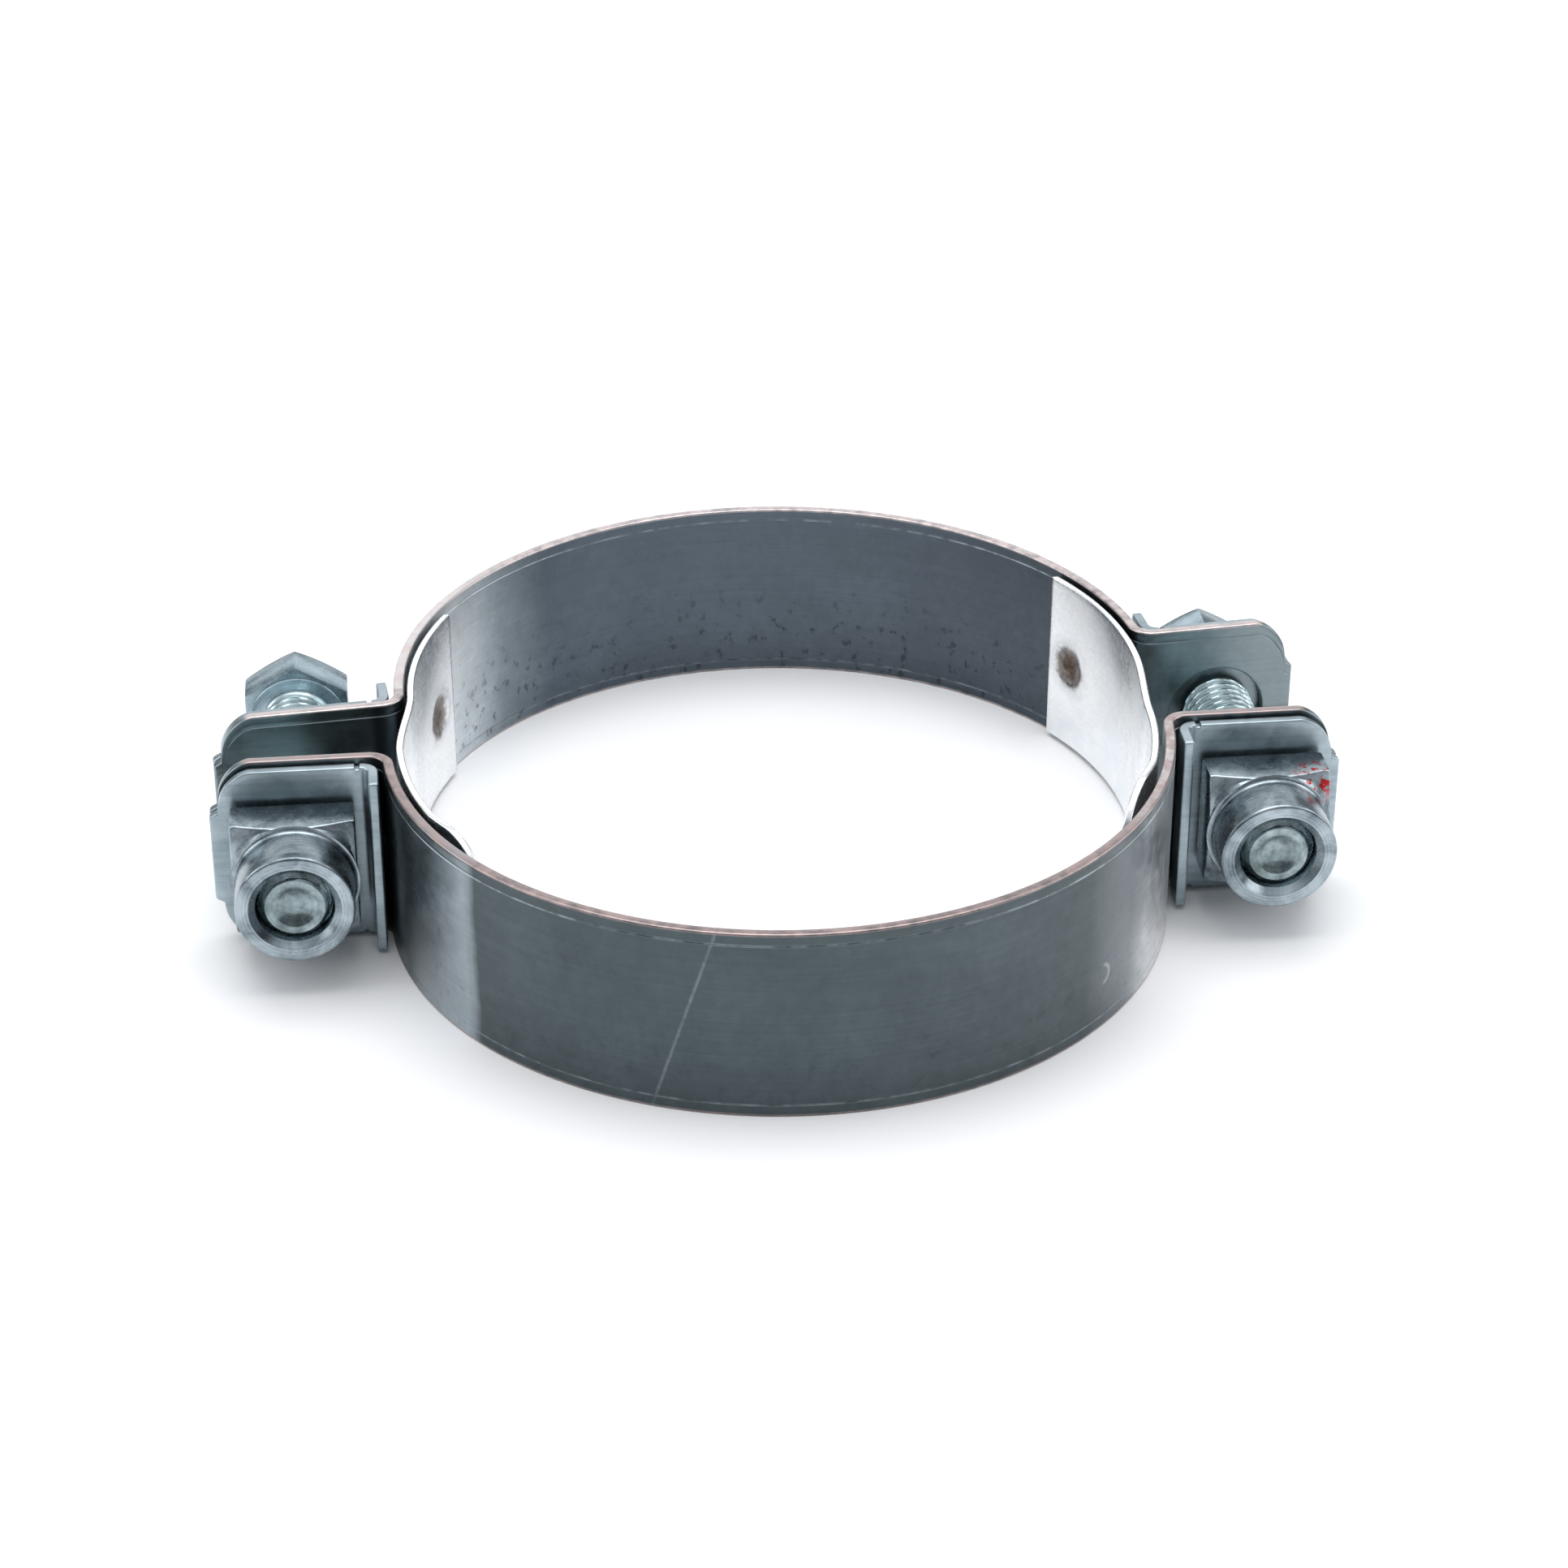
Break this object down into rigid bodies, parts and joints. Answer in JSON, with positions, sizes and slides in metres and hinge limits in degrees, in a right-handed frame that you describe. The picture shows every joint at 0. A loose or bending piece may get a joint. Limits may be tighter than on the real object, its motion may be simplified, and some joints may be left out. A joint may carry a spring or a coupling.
{
  "type": "pipe repair clamp",
  "caption": "Two-piece galvanised pipe clamp: half bands with bent ears, inner bridge plates, backing plates, square collar nuts and long hexagon bolts.",
  "frame": {"origin": "on the clamp's axis, midway between its two half rings, at the bands' bottom rims, which rest on the surface", "axes": "+Z along the rings' axis; X along the ears, across the two bolts; +Y along the bolts towards their heads"},
  "size_m": [0.1204, 0.0961, 0.0212],
  "materials": {
    "band_zinc": "galvanised, satin, mottled",
    "plate_zinc": "dull zinc plate",
    "bridge_zinc": "bright galvanised, weld tint on two spots",
    "nut_zinc": "bright zinc plate with turning marks",
    "bolt_zinc": "bright zinc plate, faintly yellow on the thread"
  },
  "bodies": {
    "front_half": {"front_band": "band_zinc", "front_backing_plate_left": "plate_zinc", "front_backing_plate_right": "plate_zinc", "square_nut_left": "nut_zinc", "square_nut_right": "nut_zinc"},
    "rear_half": {"rear_band": "band_zinc", "rear_backing_plate_left": "plate_zinc", "rear_backing_plate_right": "plate_zinc", "bridge_plate_left": "bridge_zinc", "bridge_plate_right": "bridge_zinc"},
    "bolt_left": {"hex_bolt_left": "bolt_zinc"},
    "bolt_right": {"hex_bolt_right": "bolt_zinc"}
  },
  "joints": [
    {"name": "rear_half_travel", "type": "slide", "parent": "front_half", "child": "rear_half", "axis": [0, 1, 0], "range_m": [-0.001, 0.005]},
    {"name": "bolt_left_turn", "type": "hinge", "parent": "rear_half", "child": "bolt_left", "pos_m": [-0.0515, 0, 0.0106], "axis": [0, 1, 0], "range_deg": [-288, 1440]},
    {"name": "bolt_right_turn", "type": "hinge", "parent": "rear_half", "child": "bolt_right", "pos_m": [0.0515, 0, 0.0106], "axis": [0, 1, 0], "range_deg": [-288, 1440]}
  ],
  "couplings": [
    {"joint": "bolt_left_turn", "follows": "rear_half_travel", "rad_per_m": 5026.5},
    {"joint": "bolt_right_turn", "follows": "rear_half_travel", "rad_per_m": 5026.5}
  ]
}
